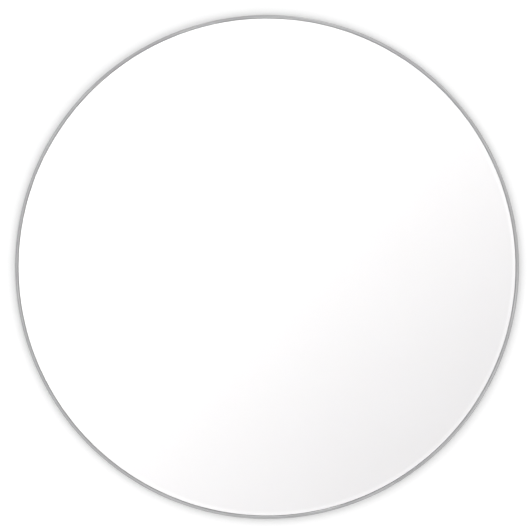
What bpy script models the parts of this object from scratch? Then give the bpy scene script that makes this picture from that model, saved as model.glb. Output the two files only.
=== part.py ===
"""A circle template: a round drawing guide that a pencil is run around.

A disc of white acrylic sheet sits in a rolled steel band, on a ring of foam tape. Eight silicone pads under
the disc stop it sliding and hold the band's edge just off the paper. It lies flat, face up.

Metres, +Z up. The origin is the circle's centre, on the paper. Nothing on it moves.
"""

import math

import bpy
from mathutils import Vector

MM = 0.001

# Driving dimensions
CIRCLE_RADIUS = 100.0 * MM  # the band's outside, which the pencil follows
SHEET_THICKNESS = 3.0 * MM
BAND_WALL = 1.2 * MM
INK_CLEARANCE = 1.0 * MM  # from the paper to the band's lower edge
PAD_COUNT = 8
GAP = 0.3 * MM  # between two pieces that meet
EXPANSION_GAP = 0.1 * MM  # between the sheet's edge and the band's wall, so that the acrylic can swell

# The sheet stands on its pads, and its face is level with the band's top edge
PAD_RADIUS = 5.0 * MM
PAD_THICKNESS = 1.6 * MM
PAD_PROUD = 1.0 * MM  # how far a pad stands out of the sheet's underside
PAD_CIRCLE_RADIUS = 0.82 * CIRCLE_RADIUS
UNDERSIDE_Z = PAD_PROUD
FACE_Z = UNDERSIDE_Z + SHEET_THICKNESS
POCKET_RADIUS = PAD_RADIUS + GAP
POCKET_ROOF_Z = PAD_THICKNESS + GAP

# The band is an angle section: an upright wall, and a flange under the sheet's edge
BAND_INSIDE = CIRCLE_RADIUS - BAND_WALL
FLANGE_WIDTH = 4.0 * MM
FLANGE_THICKNESS = 0.6 * MM
FLANGE_INSIDE = BAND_INSIDE - FLANGE_WIDTH
FLANGE_TOP_Z = INK_CLEARANCE + FLANGE_THICKNESS

# The tape lies on the flange, in a rebate that is cut in the sheet's edge
TAPE_THICKNESS = 0.4 * MM
TAPE_BOTTOM_Z = FLANGE_TOP_Z + GAP
TAPE_TOP_Z = TAPE_BOTTOM_Z + TAPE_THICKNESS
REBATE_Z = TAPE_TOP_Z + GAP
DISC_RADIUS = BAND_INSIDE - EXPANSION_GAP
REBATE_RADIUS = FLANGE_INSIDE - GAP

# Marks at the quadrants, cut in the band's outside to line up with drawn centre lines
QUADRANTS = 4
MARK_WIDTH = 0.4 * MM
MARK_DEPTH = 0.2 * MM
MARK_HEIGHT = 2.0 * MM
MARK_TOP_Z = INK_CLEARANCE + MARK_HEIGHT

# Rounded corners
SEAM_ARRIS = 0.15 * MM  # on both sides of the seam between the sheet and the band
BAND_ARRIS = 0.25 * MM
FLANGE_ARRIS = 0.15 * MM
PAD_ARRIS = 0.3 * MM

# Fineness
RING_STEPS = 96
PAD_STEPS = 24
CORNER_STEPS = 2
MERGE_DISTANCE = 0.01 * MM
SHARP_ANGLE = math.radians(40)
OVERRUN = 1.0 * MM  # how far a cutter reaches past what it cuts


def clear_scene():
    """Removes the objects that a new file starts with."""
    for obj in list(bpy.data.objects):
        bpy.data.objects.remove(obj)


def new_collection(name):
    collection = bpy.data.collections.new(name)
    bpy.context.scene.collection.children.link(collection)
    return collection


def material(name, color, roughness, metallic=0.0):
    """A Principled material of one colour."""
    made = bpy.data.materials.new(name)
    made.use_nodes = True
    shader = made.node_tree.nodes["Principled BSDF"]
    shader.inputs["Base Color"].default_value = (*color, 1.0)
    shader.inputs["Roughness"].default_value = roughness
    shader.inputs["Metallic"].default_value = metallic
    return made


def rounded(corners, closed):
    """The points of an outline whose corners, each (r, z, radius), are rounded off by arcs."""
    points = []
    count = len(corners)
    for i, (r, z, radius) in enumerate(corners):
        here = Vector((r, z))
        if radius == 0 or (not closed and i in (0, count - 1)):
            points.append(here)
            continue
        before = Vector(corners[i - 1][:2])
        after = Vector(corners[(i + 1) % count][:2])
        back = (before - here).normalized()
        ahead = (after - here).normalized()
        half_angle = back.angle(ahead) / 2
        centre = here + (back + ahead).normalized() * radius / math.sin(half_angle)
        start = here + back * radius / math.tan(half_angle) - centre
        end = here + ahead * radius / math.tan(half_angle) - centre
        for step in range(CORNER_STEPS + 1):
            spoke = start.lerp(end, step / CORNER_STEPS).normalized()
            points.append(centre + spoke * radius)
    return points


def turned(name, corners, steps, closed):
    """A turned piece: its half section in (r, z), spun about Z by a Screw modifier."""
    section = rounded(corners, closed)
    edges = [(i, i + 1) for i in range(len(section) - 1)]
    if closed:
        edges.append((len(section) - 1, 0))
    mesh = bpy.data.meshes.new(name)
    mesh.from_pydata([(p.x, 0.0, p.y) for p in section], edges, [])
    piece = bpy.data.objects.new(name, mesh)
    screw = piece.modifiers.new("spin", "SCREW")
    screw.axis = "Z"
    screw.steps = steps
    screw.render_steps = steps
    screw.use_merge_vertices = True
    screw.merge_threshold = MERGE_DISTANCE
    return piece


def finish_piece(piece, collection, finish):
    """Puts a piece in the collection, applies its modifiers, and shades it smooth between its edges."""
    collection.objects.link(piece)
    graph = bpy.context.evaluated_depsgraph_get()
    mesh = bpy.data.meshes.new_from_object(piece.evaluated_get(graph))
    mesh.name = piece.name
    piece.modifiers.clear()
    piece.data = mesh
    mesh.materials.clear()
    mesh.materials.append(finish)
    mesh.shade_smooth()
    mesh.set_sharp_from_angle(angle=SHARP_ANGLE)
    return piece


def cut(piece, cutters):
    """Cuts the shapes in a collection out of a piece."""
    boolean = piece.modifiers.new("cut_" + cutters.name, "BOOLEAN")
    boolean.operation = "DIFFERENCE"
    boolean.operand_type = "COLLECTION"
    boolean.collection = cutters
    boolean.solver = "EXACT"


def as_cutter(obj, name, collection):
    """Makes the object that was just added a cutter, which isn't part of the model."""
    obj.name = name
    for holder in list(obj.users_collection):
        holder.objects.unlink(obj)
    collection.objects.link(obj)
    obj.hide_render = True
    obj.display_type = "WIRE"


def pad_places():
    """The pads' centres, evenly spaced, and clear of the quadrant lines."""
    for i in range(PAD_COUNT):
        angle = math.tau * (i + 0.5) / PAD_COUNT
        yield PAD_CIRCLE_RADIUS * math.cos(angle), PAD_CIRCLE_RADIUS * math.sin(angle)


def pocket_cutters(collection):
    """A cylinder for each pad's pocket, from below the sheet up to the pocket's roof."""
    bottom = UNDERSIDE_Z - OVERRUN
    for i, (x, y) in enumerate(pad_places(), start=1):
        bpy.ops.mesh.primitive_cylinder_add(
            vertices=PAD_STEPS,
            radius=POCKET_RADIUS,
            depth=POCKET_ROOF_Z - bottom,
            location=(x, y, (POCKET_ROOF_Z + bottom) / 2),
        )
        as_cutter(bpy.context.object, f"pocket_cutter_{i}", collection)


def mark_cutters(collection):
    """A bar for each quadrant mark, standing in the band's outer surface."""
    bottom = INK_CLEARANCE - OVERRUN
    depth = MARK_DEPTH + OVERRUN
    centre = CIRCLE_RADIUS - MARK_DEPTH + depth / 2
    for i in range(QUADRANTS):
        angle = math.tau * i / QUADRANTS
        bpy.ops.mesh.primitive_cube_add(
            size=1.0,
            location=(centre * math.cos(angle), centre * math.sin(angle), (MARK_TOP_Z + bottom) / 2),
            rotation=(0.0, 0.0, angle),
        )
        bar = bpy.context.object
        bar.scale = (depth, MARK_WIDTH, MARK_TOP_Z - bottom)
        bpy.ops.object.transform_apply(location=False, rotation=False, scale=True)
        as_cutter(bar, f"mark_cutter_{i + 1}", collection)


def template_disc(pockets):
    """The acrylic sheet: polished edge at the face, a rebate under its rim, and the pads' pockets."""
    disc = turned(
        "template_disc",
        [
            (0.0, FACE_Z, 0.0),
            (DISC_RADIUS, FACE_Z, SEAM_ARRIS),
            (DISC_RADIUS, REBATE_Z, 0.0),
            (REBATE_RADIUS, REBATE_Z, 0.0),
            (REBATE_RADIUS, UNDERSIDE_Z, 0.0),
            (0.0, UNDERSIDE_Z, 0.0),
        ],
        RING_STEPS,
        closed=False,
    )
    cut(disc, pockets)
    return disc


def edge_band(marks):
    """The steel angle band: its wall's top edge is rounded over, and its flange points inwards."""
    band = turned(
        "edge_band",
        [
            (CIRCLE_RADIUS, FACE_Z, BAND_ARRIS),
            (CIRCLE_RADIUS, INK_CLEARANCE, BAND_ARRIS),
            (FLANGE_INSIDE, INK_CLEARANCE, FLANGE_ARRIS),
            (FLANGE_INSIDE, FLANGE_TOP_Z, FLANGE_ARRIS),
            (BAND_INSIDE, FLANGE_TOP_Z, 0.0),
            (BAND_INSIDE, FACE_Z, SEAM_ARRIS),
        ],
        RING_STEPS,
        closed=True,
    )
    cut(band, marks)
    return band


def bonding_ring():
    """The foam tape between the flange and the sheet's rebate."""
    inside = REBATE_RADIUS + 2 * GAP
    outside = DISC_RADIUS - GAP
    return turned(
        "bonding_ring",
        [
            (outside, TAPE_TOP_Z, 0.0),
            (outside, TAPE_BOTTOM_Z, 0.0),
            (inside, TAPE_BOTTOM_Z, 0.0),
            (inside, TAPE_TOP_Z, 0.0),
        ],
        RING_STEPS,
        closed=True,
    )


def grip_pad(name):
    """One silicone pad, with its foot at its origin."""
    return turned(
        name,
        [
            (0.0, PAD_THICKNESS, 0.0),
            (PAD_RADIUS, PAD_THICKNESS, PAD_ARRIS),
            (PAD_RADIUS, 0.0, PAD_ARRIS),
            (0.0, 0.0, 0.0),
        ],
        PAD_STEPS,
        closed=False,
    )


def main():
    clear_scene()
    parts = new_collection("circle_template")
    pockets = new_collection("pocket_cutters")
    marks = new_collection("mark_cutters")
    pocket_cutters(pockets)
    mark_cutters(marks)

    acrylic = material("white_acrylic", (0.72, 0.71, 0.72), roughness=0.12)
    steel = material("brushed_steel", (0.37, 0.37, 0.38), roughness=0.32, metallic=1.0)
    foam = material("foam_tape", (0.30, 0.30, 0.31), roughness=0.9)
    silicone = material("clear_silicone", (0.65, 0.66, 0.67), roughness=0.45)

    base = bpy.data.objects.new("template_base", None)
    parts.objects.link(base)
    finish_piece(template_disc(pockets), parts, acrylic).parent = base
    finish_piece(edge_band(marks), parts, steel).parent = base
    finish_piece(bonding_ring(), parts, foam).parent = base

    for i, (x, y) in enumerate(pad_places(), start=1):
        pad = finish_piece(grip_pad(f"grip_pad_{i}"), parts, silicone)
        pad.location = (x, y, 0.0)
        pad.parent = base


main()
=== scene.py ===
"""The looks of a circle template: a white acrylic disc in a thin band of brushed steel, on silicone pads.

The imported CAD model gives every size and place. The disc, the band, the tape and the pads are rebuilt from
it as finer meshes, and each surface gets a procedural material. It lies on a pale floor, seen from straight
above, in soft light that comes mostly from high up all round. A graduated panel shows in the face as a soft
diagonal fade.

Metres, +Z up, in the CAD model's own frame.
"""

import math

import bmesh
import bpy
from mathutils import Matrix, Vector


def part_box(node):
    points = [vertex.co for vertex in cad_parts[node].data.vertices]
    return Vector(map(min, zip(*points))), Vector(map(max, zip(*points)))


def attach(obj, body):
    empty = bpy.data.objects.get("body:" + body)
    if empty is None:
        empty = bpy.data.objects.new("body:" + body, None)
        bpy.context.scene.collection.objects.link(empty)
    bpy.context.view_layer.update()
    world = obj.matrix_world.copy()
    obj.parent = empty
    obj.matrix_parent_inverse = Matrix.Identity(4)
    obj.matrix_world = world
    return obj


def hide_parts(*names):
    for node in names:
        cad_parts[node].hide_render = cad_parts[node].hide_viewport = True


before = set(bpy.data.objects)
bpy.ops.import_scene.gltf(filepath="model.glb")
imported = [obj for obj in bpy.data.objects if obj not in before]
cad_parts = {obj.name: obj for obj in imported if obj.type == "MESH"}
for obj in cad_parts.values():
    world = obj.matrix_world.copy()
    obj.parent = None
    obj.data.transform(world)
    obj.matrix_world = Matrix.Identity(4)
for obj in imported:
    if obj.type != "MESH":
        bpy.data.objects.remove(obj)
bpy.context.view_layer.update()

MM = 0.001


def inner_radius(node):
    """The radius of the hole through a ring-shaped CAD node."""
    return min(v.co.xy.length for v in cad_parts[node].data.vertices)


# Sizes that follow from the frame
GAP = 0.3 * MM  # the CAD model leaves this between pieces that meet
EXPANSION_GAP = 0.1 * MM  # and this round the sheet's edge
DISC_LOW, DISC_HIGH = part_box("template_disc")
BAND_LOW, BAND_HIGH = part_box("edge_band")
TAPE_LOW, TAPE_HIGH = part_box("bonding_ring")
PADS = sorted(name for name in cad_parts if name.startswith("grip_pad_"))
FACE_Z = DISC_HIGH.z
OUTSIDE = BAND_HIGH.x
BAND_INSIDE = DISC_HIGH.x + EXPANSION_GAP
FLANGE_TOP_Z = TAPE_LOW.z - GAP
FLANGE_INSIDE = inner_radius("edge_band")
REBATE_RADIUS = FLANGE_INSIDE - GAP
REBATE_Z = TAPE_HIGH.z + GAP
TAPE_INSIDE = inner_radius("bonding_ring")

# Fine shape
SEAM_ARRIS = 0.15 * MM  # on both sides of the seam between the sheet and the band
PAINTED_HIGHLIGHT_WIDTH = 1.8 * MM  # how far in from its edge the sheet's colour is painted lighter: a painted highlight
BAND_ARRIS = 0.25 * MM
FLANGE_ARRIS = 0.15 * MM
TAPE_ARRIS = 0.12 * MM  # the soft rounding of the squeezed foam
PAD_ARRIS = 0.3 * MM
SUPPORT = 0.04 * MM  # from a rounding to the ring that keeps the flat beside it flat
SCRIBE_WIDTH = 0.25 * MM  # the centre lines scribed on the underside
SCRIBE_DEPTH = 0.12 * MM
MARK_WIDTH = 0.4 * MM  # the quadrant marks on the band
MARK_DEPTH = 0.2 * MM
MARK_HEIGHT = 2.0 * MM
QUADRANTS = 4
WELD_AZIMUTH = math.radians(-60)  # where the ends of the steel strip meet
WELD_WIDTH = 1.6 * MM
WELD_LINE = 0.08 * MM
RING_STEPS = 384
PAD_STEPS = 64
CORNER_STEPS = 6
MERGE_DISTANCE = 0.002 * MM
SHARP_ANGLE = math.radians(35)
OVERRUN = 1.0 * MM  # how far a cutter reaches past what it cuts


# ---------------------------------------------------------------- nodes


def add(tree, kind, settings=None, **inputs):
    """Adds a shader node. Inputs are named with _ for a space, and take a value or another node's socket."""
    made = tree.nodes.new(kind)
    for name, value in (settings or {}).items():
        setattr(made, name, value)
    for name, value in inputs.items():
        join(tree, value, made.inputs[name.replace("_", " ")])
    return made


def join(tree, value, socket):
    if isinstance(value, bpy.types.NodeSocket):
        tree.links.new(value, socket)
    else:
        socket.default_value = value


def calc(tree, operation, *values):
    """The result of a Math node."""
    made = add(tree, "ShaderNodeMath", {"operation": operation})
    for value, socket in zip(values, made.inputs):
        join(tree, value, socket)
    return made.outputs[0]


def remap(tree, value, from_low, from_high, to_low, to_high):
    """A value mapped linearly from one range to another, and held at the ends."""
    made = add(
        tree,
        "ShaderNodeMapRange",
        Value=value,
        From_Min=from_low,
        From_Max=from_high,
        To_Min=to_low,
        To_Max=to_high,
    )
    return made.outputs["Result"]


def noise(tree, vector, size, detail=2.0, roughness=0.5, **more):
    """Noise whose features are about `size` metres across."""
    made = add(
        tree,
        "ShaderNodeTexNoise",
        Vector=vector,
        Scale=1.0 / size,
        Detail=detail,
        Roughness=roughness,
        **more,
    )
    return made.outputs["Fac"]


def mix(tree, factor, low, high):
    """A colour between two, each an (r, g, b) or another node's socket, by a factor."""
    made = add(tree, "ShaderNodeMix", {"data_type": "RGBA"}, Factor=factor)
    sockets = {socket.identifier: socket for socket in (*made.inputs, *made.outputs)}
    for value, end in ((low, "A_Color"), (high, "B_Color")):
        join(tree, (*value, 1.0) if isinstance(value, tuple) else value, sockets[end])
    return sockets["Result_Color"]


def new_material(name):
    """A material, its node tree and its Principled shader."""
    made = bpy.data.materials.new(name)
    made.use_nodes = True
    tree = made.node_tree
    return made, tree, tree.nodes["Principled BSDF"]


def place(tree):
    """Where a point is on the object, in metres."""
    return add(tree, "ShaderNodeTexCoord").outputs["Object"]


def from_the_axis(tree, here):
    """Where a point is about the circle's axis: the direction to it, its radius and its height."""
    split = add(tree, "ShaderNodeSeparateXYZ", Vector=here)
    flat = add(tree, "ShaderNodeCombineXYZ", X=split.outputs["X"], Y=split.outputs["Y"])
    radius = add(tree, "ShaderNodeVectorMath", {"operation": "LENGTH"}, Vector=flat.outputs["Vector"])
    around = add(tree, "ShaderNodeVectorMath", {"operation": "NORMALIZE"}, Vector=flat.outputs["Vector"])
    return around.outputs["Vector"], radius.outputs["Value"], split.outputs["Z"]


def dot(tree, vector, direction):
    """How far a vector reaches along a direction."""
    made = add(tree, "ShaderNodeVectorMath", {"operation": "DOT_PRODUCT"})
    join(tree, vector, made.inputs[0])
    join(tree, direction, made.inputs[1])
    return made.outputs["Value"]


def bump(tree, height, depth, normal=None):
    """A bump whose full height is `depth` metres."""
    made = add(tree, "ShaderNodeBump", Height=height, Distance=depth, Strength=1.0)
    if normal:
        join(tree, normal, made.inputs["Normal"])
    return made.outputs["Normal"]


# ---------------------------------------------------------------- materials


def hairlines(tree, vector, angle, seed):
    """Sparse straight scratches, a few centimetres long, along one direction: 1 on a scratch, 0 off it."""
    length, width = 30 * MM, 0.25 * MM
    turned_by = add(
        tree,
        "ShaderNodeMapping",
        Vector=vector,
        Location=(seed, seed, 0.0),
        Rotation=(0.0, 0.0, angle),
        Scale=(1.0 / length, 1.0 / width, 0.0),
    )
    field = add(
        tree,
        "ShaderNodeTexNoise",
        Vector=turned_by.outputs["Vector"],
        Scale=1.0,
        Detail=0.0,
    )
    return remap(tree, field.outputs["Fac"], 0.74, 0.80, 0.0, 1.0)


def white_acrylic():
    """Opal cast sheet: glossy, very slightly wavy, with wipe marks and the hairlines of use.

    A narrow ring at its edge is painted a little lighter in its colour: a painted highlight."""
    made, tree, shader = new_material("white_acrylic")
    here = place(tree)
    cloud = noise(tree, here, 45 * MM)
    wipe = noise(tree, here, 22 * MM, detail=4.0, roughness=0.6, Distortion=0.8)
    scratch = hairlines(tree, here, math.radians(20), 0.3)
    for turn, seed in ((75, 1.7), (140, 4.1)):
        scratch = calc(tree, "MAXIMUM", scratch, hairlines(tree, here, math.radians(turn), seed))
    plain = mix(tree, cloud, (0.720, 0.710, 0.715), (0.728, 0.718, 0.723))
    radius = from_the_axis(tree, here)[1]
    # painted highlight: the base colour is lighter in a narrow ring just inside the sheet's edge
    painted_rim_highlight = remap(tree, radius, DISC_HIGH.x - PAINTED_HIGHLIGHT_WIDTH, DISC_HIGH.x - 0.5 * PAINTED_HIGHLIGHT_WIDTH, 0.0, 1.0)
    join(tree, mix(tree, painted_rim_highlight, plain, (0.780, 0.770, 0.775)), shader.inputs["Base Color"])
    gloss = remap(tree, wipe, 0.35, 0.75, 0.10, 0.14)
    gloss = calc(tree, "MULTIPLY_ADD", scratch, 0.06, gloss)
    join(tree, gloss, shader.inputs["Roughness"])
    wave = bump(tree, noise(tree, here, 70 * MM, detail=0.0), 0.01 * MM)
    peel = bump(tree, noise(tree, here, 2.5 * MM, detail=1.0), 0.0004 * MM, wave)
    cut = bump(tree, scratch, -0.0008 * MM, peel)
    join(tree, cut, shader.inputs["Normal"])
    shader.inputs["IOR"].default_value = 1.49
    shader.inputs["Subsurface Weight"].default_value = 0.5
    shader.inputs["Subsurface Radius"].default_value = (1.0, 0.95, 0.9)
    shader.inputs["Subsurface Scale"].default_value = 1.2 * MM
    return made


def streaks(tree, spot, length, width, detail):
    """Noise drawn out round the band, `length` metres along it and `width` across it."""
    around, radius, height = spot
    along = add(tree, "ShaderNodeVectorMath", {"operation": "SCALE"}, Vector=around, Scale=OUTSIDE / length)
    across = add(tree, "ShaderNodeCombineXYZ", Z=calc(tree, "DIVIDE", radius, width))
    vector = add(tree, "ShaderNodeVectorMath", {"operation": "ADD"})
    join(tree, along.outputs["Vector"], vector.inputs[0])
    join(tree, across.outputs["Vector"], vector.inputs[1])
    field = add(
        tree,
        "ShaderNodeTexNoise",
        {"noise_dimensions": "4D"},
        Vector=vector.outputs["Vector"],
        W=calc(tree, "DIVIDE", height, width),
        Scale=1.0,
        Detail=detail,
    )
    return field.outputs["Fac"]


def inked(tree, here, spot):
    """1 inside the four quadrant marks, which are filled with black, and 0 elsewhere."""
    _, radius, height = spot
    spare = 0.2 * MARK_DEPTH  # from the surface down to the ink, and on past the mark's floor
    split = add(tree, "ShaderNodeSeparateXYZ", Vector=here)
    off_axis = calc(
        tree,
        "MINIMUM",
        calc(tree, "ABSOLUTE", split.outputs["X"]),
        calc(tree, "ABSOLUTE", split.outputs["Y"]),
    )
    inside = calc(tree, "LESS_THAN", off_axis, 0.55 * MARK_WIDTH)
    for operation, value, limit in (
        ("LESS_THAN", radius, OUTSIDE - spare),
        ("GREATER_THAN", radius, OUTSIDE - MARK_DEPTH - spare),
        ("LESS_THAN", height, BAND_LOW.z + 1.01 * MARK_HEIGHT),
    ):
        inside = calc(tree, "MULTIPLY", inside, calc(tree, operation, value, limit))
    return inside


def weld(tree, spot):
    """The joint in the strip: 1 on the patch that was ground, 1 on the hairline in it, and the grinding."""
    around, _, height = spot
    outward = (math.cos(WELD_AZIMUTH), math.sin(WELD_AZIMUTH), 0.0)
    sideways = (-math.sin(WELD_AZIMUTH), math.cos(WELD_AZIMUTH), 0.0)
    ahead = calc(tree, "GREATER_THAN", dot(tree, around, outward), 0.0)
    along = calc(tree, "MULTIPLY", dot(tree, around, sideways), OUTSIDE)
    off = calc(tree, "ABSOLUTE", along)
    patch = calc(tree, "MULTIPLY", ahead, remap(tree, off, 0.3 * WELD_WIDTH, 0.5 * WELD_WIDTH, 1.0, 0.0))
    line = calc(tree, "MULTIPLY", ahead, remap(tree, off, 0.3 * WELD_LINE, 0.5 * WELD_LINE, 1.0, 0.0))
    across = add(
        tree,
        "ShaderNodeCombineXYZ",
        X=calc(tree, "DIVIDE", along, 0.07 * MM),
        Y=calc(tree, "DIVIDE", height, 2 * MM),
    )
    grinding = remap(tree, noise(tree, across.outputs["Vector"], 1.0), 0.35, 0.65, 0.0, 1.0)
    return patch, line, grinding


def graphite_film(tree, spot):
    """The grey film that pencils rub off on the band's outside: heaviest low down, where the leads touch."""
    _, radius, height = spot
    outer = remap(tree, radius, OUTSIDE - 0.2 * MM, OUTSIDE - 0.05 * MM, 0.0, 1.0)
    low = remap(tree, height, BAND_LOW.z, FACE_Z, 1.0, 0.6)
    patches = remap(tree, streaks(tree, spot, 18 * MM, 1.2 * MM, 2.0), 0.35, 0.65, 0.55, 1.0)
    strokes = remap(tree, streaks(tree, spot, 6 * MM, 0.12 * MM, 3.0), 0.35, 0.65, 0.55, 1.0)
    film = calc(tree, "MULTIPLY", outer, low)
    film = calc(tree, "MULTIPLY", film, patches)
    return calc(tree, "MULTIPLY", film, strokes)


def brushed_steel():
    """Stainless strip, brushed along its length, and greyed outside by the pencils that have run along it."""
    made, tree, shader = new_material("brushed_steel")
    here = place(tree)
    spot = from_the_axis(tree, here)
    coarse = remap(tree, streaks(tree, spot, 14 * MM, 0.30 * MM, 1.0), 0.3, 0.7, 0.0, 1.0)
    fine = remap(tree, streaks(tree, spot, 7 * MM, 0.05 * MM, 2.0), 0.3, 0.7, 0.0, 1.0)
    scratch = remap(tree, streaks(tree, spot, 22 * MM, 0.09 * MM, 0.0), 0.70, 0.76, 0.0, 1.0)
    both = calc(tree, "MULTIPLY_ADD", fine, 0.6, calc(tree, "MULTIPLY", coarse, 0.4))
    handled = noise(tree, here, 18 * MM, detail=3.0)
    graphite = graphite_film(tree, spot)
    ink = inked(tree, here, spot)
    patch, line, grinding = weld(tree, spot)

    bare = mix(tree, both, (0.30, 0.30, 0.305), (0.44, 0.44, 0.445))
    bare = mix(tree, scratch, bare, (0.68, 0.68, 0.685))
    bare = mix(tree, patch, bare, mix(tree, grinding, (0.34, 0.34, 0.345), (0.52, 0.52, 0.525)))
    bare = mix(tree, line, bare, (0.12, 0.12, 0.12))
    stained = mix(tree, graphite, bare, (0.12, 0.12, 0.125))
    join(tree, mix(tree, ink, stained, (0.02, 0.02, 0.02)), shader.inputs["Base Color"])
    satin = remap(tree, both, 0.0, 1.0, 0.25, 0.35)
    satin = calc(tree, "ADD", satin, remap(tree, handled, 0.5, 0.75, 0.0, 0.07))
    satin = calc(tree, "MULTIPLY_ADD", graphite, 0.08, satin)
    satin = calc(tree, "MULTIPLY_ADD", patch, 0.10, satin)
    satin = calc(tree, "MULTIPLY_ADD", ink, 0.3, satin)
    join(tree, satin, shader.inputs["Roughness"])
    grooves = bump(tree, both, 0.003 * MM)
    scored = bump(tree, scratch, -0.006 * MM, grooves)
    join(tree, bump(tree, line, -0.01 * MM, scored), shader.inputs["Normal"])
    grain = add(tree, "ShaderNodeTangent", {"direction_type": "RADIAL", "axis": "Z"})
    join(tree, grain.outputs["Tangent"], shader.inputs["Tangent"])
    shader.inputs["Metallic"].default_value = 1.0
    shader.inputs["Anisotropic"].default_value = 0.75
    return made


def clear_silicone():
    """Moulded silicone: milky, satin, with a fine mould grain and a little dust."""
    made, tree, shader = new_material("clear_silicone")
    here = place(tree)
    milk = noise(tree, here, 3 * MM)
    grain = noise(tree, here, 0.15 * MM, detail=3.0)
    dust = remap(tree, noise(tree, here, 0.5 * MM, detail=4.0, roughness=0.7), 0.60, 0.72, 0.0, 1.0)
    colour = mix(tree, milk, (0.61, 0.62, 0.64), (0.69, 0.70, 0.71))
    colour = mix(tree, calc(tree, "MULTIPLY", dust, 0.35), colour, (0.50, 0.49, 0.47))
    join(tree, colour, shader.inputs["Base Color"])
    join(tree, remap(tree, dust, 0.0, 1.0, 0.40, 0.62), shader.inputs["Roughness"])
    join(tree, bump(tree, grain, 0.006 * MM), shader.inputs["Normal"])
    shader.inputs["IOR"].default_value = 1.41
    shader.inputs["Subsurface Weight"].default_value = 0.5
    shader.inputs["Subsurface Radius"].default_value = (1.0, 1.0, 1.0)
    shader.inputs["Subsurface Scale"].default_value = 0.8 * MM
    return made


def foam_tape():
    """Closed-cell foam: dark grey, matt and pitted, with painted shade darkening its pits."""
    made, tree, shader = new_material("foam_tape")
    here = place(tree)
    cells = add(tree, "ShaderNodeTexVoronoi", Vector=here, Scale=1.0 / (0.25 * MM)).outputs["Distance"]
    # painted shade: the colour is darker in the pits that the bump sinks, and also varies at random
    pit_shade_and_mottle = calc(tree, "MULTIPLY", cells, noise(tree, here, 2 * MM))
    join(tree, mix(tree, pit_shade_and_mottle, (0.22, 0.22, 0.23), (0.38, 0.38, 0.39)), shader.inputs["Base Color"])
    join(tree, remap(tree, cells, 0.0, 0.6, 0.95, 0.8), shader.inputs["Roughness"])
    join(tree, bump(tree, cells, 0.08 * MM), shader.inputs["Normal"])
    return made


def paper_white():
    """The floor: plain white board with a faint tooth."""
    made, tree, shader = new_material("white_board")
    here = place(tree)
    tooth = noise(tree, here, 0.6 * MM, detail=3.0)
    join(tree, mix(tree, tooth, (0.945, 0.945, 0.945), (0.965, 0.965, 0.965)), shader.inputs["Base Color"])
    shader.inputs["Roughness"].default_value = 0.9
    shader.inputs["Specular IOR Level"].default_value = 0.1
    return made


# ---------------------------------------------------------------- meshes


def rounded(corners, closed):
    """The points of an outline whose corners, each (r, z, radius), are rounded off by arcs.

    A ring beside each arc keeps the flat next to it flat when the surface is shaded smooth."""
    points = []
    count = len(corners)
    for i, (r, z, radius) in enumerate(corners):
        here = Vector((r, z))
        if radius == 0 or (not closed and i in (0, count - 1)):
            points.append(here)
            continue
        before = Vector(corners[i - 1][:2])
        after = Vector(corners[(i + 1) % count][:2])
        back = (before - here).normalized()
        ahead = (after - here).normalized()
        half_angle = back.angle(ahead) / 2
        reach = radius / math.tan(half_angle)
        centre = here + (back + ahead).normalized() * radius / math.sin(half_angle)
        start = here + back * reach - centre
        end = here + ahead * reach - centre
        points.append(here + back * (reach + SUPPORT))
        for step in range(CORNER_STEPS + 1):
            spoke = start.slerp(end, step / CORNER_STEPS).normalized()
            points.append(centre + spoke * radius)
        points.append(here + ahead * (reach + SUPPORT))
    return points


def turned(name, corners, steps, closed):
    """A turned piece: its half section in (r, z), spun about Z by a Screw modifier."""
    section = rounded(corners, closed)
    edges = [(i, i + 1) for i in range(len(section) - 1)]
    if closed:
        edges.append((len(section) - 1, 0))
    mesh = bpy.data.meshes.new(name)
    mesh.from_pydata([(p.x, 0.0, p.y) for p in section], edges, [])
    piece = bpy.data.objects.new(name, mesh)
    bpy.context.scene.collection.objects.link(piece)
    screw = piece.modifiers.new("spin", "SCREW")
    screw.axis = "Z"
    screw.steps = steps
    screw.render_steps = steps
    screw.use_merge_vertices = True
    screw.merge_threshold = MERGE_DISTANCE
    return piece


def cut(piece, cutters):
    """Cuts each cutter out of a piece."""
    for cutter in cutters:
        boolean = piece.modifiers.new("cut", "BOOLEAN")
        boolean.operation = "DIFFERENCE"
        boolean.object = cutter
        boolean.solver = "EXACT"


def heal(mesh):
    """Merges the points that cuts leave on top of each other, and drops faces that have no area."""
    work = bmesh.new()
    work.from_mesh(mesh)
    bmesh.ops.remove_doubles(work, verts=work.verts, dist=MERGE_DISTANCE)
    bmesh.ops.dissolve_degenerate(work, edges=work.edges, dist=MERGE_DISTANCE)
    work.to_mesh(mesh)
    work.free()


def settle(piece, material, nodes, cutters=()):
    """Applies a piece's modifiers, shades it, and makes it ride and stand for its CAD nodes."""
    graph = bpy.context.evaluated_depsgraph_get()
    mesh = bpy.data.meshes.new_from_object(piece.evaluated_get(graph))
    mesh.name = piece.name
    heal(mesh)
    piece.modifiers.clear()
    piece.data = mesh
    mesh.materials.clear()
    mesh.materials.append(material)
    mesh.shade_smooth()
    mesh.set_sharp_from_angle(angle=SHARP_ANGLE)
    for cutter in cutters:
        bpy.data.objects.remove(cutter)
    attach(piece, "root")
    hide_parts(*nodes)
    return piece


def bar(size, centre, angle):
    """A box-shaped cutter, turned about Z by an angle."""
    bpy.ops.mesh.primitive_cube_add(size=1.0, location=centre, rotation=(0.0, 0.0, angle))
    made = bpy.context.object
    made.scale = size
    bpy.ops.object.transform_apply(location=False, rotation=False, scale=True)
    return made


def pad_centre(name):
    low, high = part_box(name)
    return (low + high) / 2, (high.x - low.x) / 2, high.z


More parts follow.
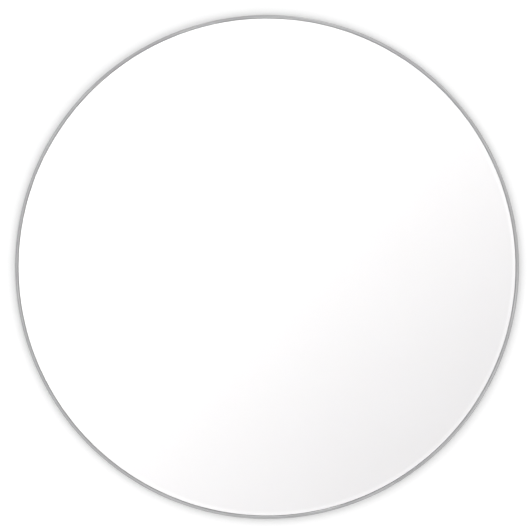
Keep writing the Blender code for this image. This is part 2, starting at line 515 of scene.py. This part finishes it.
def white_sheet(material):
    """The disc: a polished edge, a rebate for the tape, a pocket for each pad, and scribed centre lines."""
    piece = turned(
        "white_sheet",
        [
            (0.0, FACE_Z, 0.0),
            (DISC_HIGH.x, FACE_Z, SEAM_ARRIS),
            (DISC_HIGH.x, REBATE_Z, 0.0),
            (REBATE_RADIUS, REBATE_Z, 0.0),
            (REBATE_RADIUS, DISC_LOW.z, 0.0),
            (0.0, DISC_LOW.z, 0.0),
        ],
        RING_STEPS,
        closed=False,
    )
    cutters = []
    bottom = DISC_LOW.z - OVERRUN
    for name in PADS:
        centre, radius, top = pad_centre(name)
        roof = top + GAP
        bpy.ops.mesh.primitive_cylinder_add(
            vertices=PAD_STEPS,
            radius=radius + GAP,
            depth=roof - bottom,
            location=(centre.x, centre.y, (roof + bottom) / 2),
        )
        cutters.append(bpy.context.object)
    depth = SCRIBE_DEPTH + OVERRUN
    middle = DISC_LOW.z + SCRIBE_DEPTH - depth / 2
    cutters += [
        bar((2 * OUTSIDE, SCRIBE_WIDTH, depth), (0.0, 0.0, middle), angle) for angle in (0.0, math.pi / 2)
    ]
    cut(piece, cutters)
    return settle(piece, material, ["template_disc"], cutters)


def steel_band(material):
    """The angle band: rounded top and bottom edges, a flange that points inwards, and the quadrant marks."""
    piece = turned(
        "steel_band",
        [
            (OUTSIDE, FACE_Z, BAND_ARRIS),
            (OUTSIDE, BAND_LOW.z, BAND_ARRIS),
            (FLANGE_INSIDE, BAND_LOW.z, FLANGE_ARRIS),
            (FLANGE_INSIDE, FLANGE_TOP_Z, FLANGE_ARRIS),
            (BAND_INSIDE, FLANGE_TOP_Z, 0.0),
            (BAND_INSIDE, FACE_Z, SEAM_ARRIS),
        ],
        RING_STEPS,
        closed=True,
    )
    depth = MARK_DEPTH + OVERRUN
    height = MARK_HEIGHT + OVERRUN
    centre = OUTSIDE - MARK_DEPTH + depth / 2
    cutters = []
    for i in range(QUADRANTS):
        angle = math.tau * i / QUADRANTS
        x = centre * math.cos(angle)
        y = centre * math.sin(angle)
        z = BAND_LOW.z + MARK_HEIGHT - height / 2
        cutters.append(bar((depth, MARK_WIDTH, height), (x, y, z), angle))
    cut(piece, cutters)
    return settle(piece, material, ["edge_band"], cutters)


def foam_ring(material):
    """The tape: a flat ring of foam, whose cut edges are squeezed round."""
    piece = turned(
        "foam_ring",
        [
            (TAPE_HIGH.x, TAPE_HIGH.z, TAPE_ARRIS),
            (TAPE_HIGH.x, TAPE_LOW.z, TAPE_ARRIS),
            (TAPE_INSIDE, TAPE_LOW.z, TAPE_ARRIS),
            (TAPE_INSIDE, TAPE_HIGH.z, TAPE_ARRIS),
        ],
        RING_STEPS,
        closed=True,
    )
    return settle(piece, material, ["bonding_ring"])


def silicone_pad(node, material):
    """One pad: a flat foot with rounded edges and three shallow grip rings."""
    centre, radius, top = pad_centre(node)
    groove, ridge = 0.3 * MM, 0.15 * MM
    foot = [(radius, 0.0, PAD_ARRIS)]
    for share in (0.75, 0.5, 0.25):
        middle = radius * share
        foot += [
            (middle + groove, 0.0, 0.0),
            (middle, ridge, 0.0),
            (middle - groove, 0.0, 0.0),
        ]
    piece = turned(
        "silicone_" + node,
        [(0.0, top, 0.0), (radius, top, PAD_ARRIS), *foot, (0.0, 0.0, 0.0)],
        PAD_STEPS,
        closed=False,
    )
    piece.location = (centre.x, centre.y, 0.0)
    return settle(piece, material, [node])


# ---------------------------------------------------------------- stage


def floor():
    """A wide white board under the template."""
    width, drop = 16.0, 0.02 * MM  # just clear of the pads
    bpy.ops.mesh.primitive_plane_add(size=width, location=(0.0, 0.0, -drop))
    board = bpy.context.object
    board.name = "floor"
    board.data.materials.append(paper_white())


def fade_panel(disc):
    """A graduated panel above the upper left, which lights only the disc: a fade to the lower right."""
    height, length, width, strength = 1.88, 0.70, 1.0, 16.8
    edge = 0.25  # how far past the middle the fade ends
    toward = Vector((1.0, -1.0, 0.0)).normalized()
    bpy.ops.mesh.primitive_plane_add(
        size=1.0,
        location=toward * (edge - length / 2) + Vector((0.0, 0.0, FACE_Z + height)),
        rotation=(0.0, 0.0, math.atan2(toward.y, toward.x)),
    )
    panel = bpy.context.object
    panel.name = "fade_panel"
    panel.scale = (length, width, 1.0)
    made = bpy.data.materials.new("fade_panel")
    made.use_nodes = True
    tree = made.node_tree
    tree.nodes.clear()
    across = add(tree, "ShaderNodeSeparateXYZ", Vector=add(tree, "ShaderNodeTexCoord").outputs["Generated"])
    glow = add(
        tree,
        "ShaderNodeEmission",
        Strength=remap(tree, across.outputs["X"], 0.0, 1.0, strength, 0.0),
    )
    clear = add(tree, "ShaderNodeBsdfTransparent")
    both = add(tree, "ShaderNodeAddShader")
    join(tree, glow.outputs[0], both.inputs[0])
    join(tree, clear.outputs[0], both.inputs[1])
    out = add(tree, "ShaderNodeOutputMaterial")
    join(tree, both.outputs[0], out.inputs["Surface"])
    panel.data.materials.append(made)
    panel.visible_camera = False
    panel.visible_diffuse = False
    panel.visible_transmission = False
    lit = bpy.data.collections.new("lit_by_fade_panel")
    lit.objects.link(disc)
    panel.light_linking.receiver_collection = lit


def surroundings():
    """Soft white light, strongest from high up all round, and dimmer straight above and low down.

    The horizon is bright again, like a pale room, and the walls are broadly lighter and darker by turns."""
    world = bpy.data.worlds.new("studio")
    bpy.context.scene.world = world
    world.use_nodes = True
    tree = world.node_tree
    tree.nodes.clear()
    toward = add(tree, "ShaderNodeTexCoord").outputs["Generated"]
    split = add(tree, "ShaderNodeSeparateXYZ", Vector=toward)
    up = split.outputs["Z"]
    azimuth = calc(tree, "ARCTAN2", split.outputs["Y"], split.outputs["X"])
    walls = 0.0
    for turns, phase, share in ((2.0, 1.4, 0.45), (4.0, 0.8, 0.35), (6.0, 1.2, 0.2)):
        angle = calc(tree, "MULTIPLY_ADD", azimuth, turns, phase)
        walls = calc(tree, "MULTIPLY_ADD", calc(tree, "COSINE", angle), share, walls)
    rise = remap(tree, up, 0.02, 0.12, 0.0, 1.0)
    fall = remap(tree, up, 0.60, 0.90, 1.0, 0.0)
    walls = calc(tree, "MULTIPLY", walls, calc(tree, "MULTIPLY", rise, fall))
    middle, high = 1.08, 1.58
    dip_above, dip_below, horizon = 0.61, 0.51, 0.4
    wall_contrast = 0.4
    level = remap(tree, up, 0.70, 0.85, middle, high)
    level = calc(tree, "SUBTRACT", level, remap(tree, up, 0.95, 0.985, 0.0, dip_above))
    level = calc(tree, "SUBTRACT", level, remap(tree, up, 0.20, 0.50, dip_below, 0.0))
    level = calc(tree, "ADD", level, remap(tree, up, 0.0, 0.05, horizon, 0.0))
    level = calc(tree, "MULTIPLY", level, calc(tree, "MULTIPLY_ADD", walls, wall_contrast, 1.0))
    back = add(tree, "ShaderNodeBackground", Color=(1.0, 1.0, 1.0, 1.0), Strength=level)
    out = add(tree, "ShaderNodeOutputWorld")
    join(tree, back.outputs[0], out.inputs["Surface"])


def camera():
    """Straight above the disc, which nearly fills the frame, a hair right of the middle and below it."""
    lens = bpy.data.cameras.new("camera")
    lens.lens = 200.0
    lens.sensor_width = 36.0
    lens.clip_start = 0.01
    lens.clip_end = 50.0
    filled = 0.9471  # the share of the frame's width that the disc takes
    half_width = OUTSIDE / filled
    distance = half_width * lens.lens / (lens.sensor_width / 2)
    nudge = 0.0041 * OUTSIDE
    made = bpy.data.objects.new("camera", lens)
    made.location = (-nudge, nudge, FACE_Z + distance)
    bpy.context.scene.collection.objects.link(made)
    bpy.context.scene.camera = made


def main():
    bpy.context.scene.view_settings.view_transform = "Standard"
    camera()
    surroundings()
    floor()
    disc = white_sheet(white_acrylic())
    steel_band(brushed_steel())
    silicone = clear_silicone()
    for node in PADS:
        silicone_pad(node, silicone)
    foam_ring(foam_tape())
    fade_panel(disc)


main()
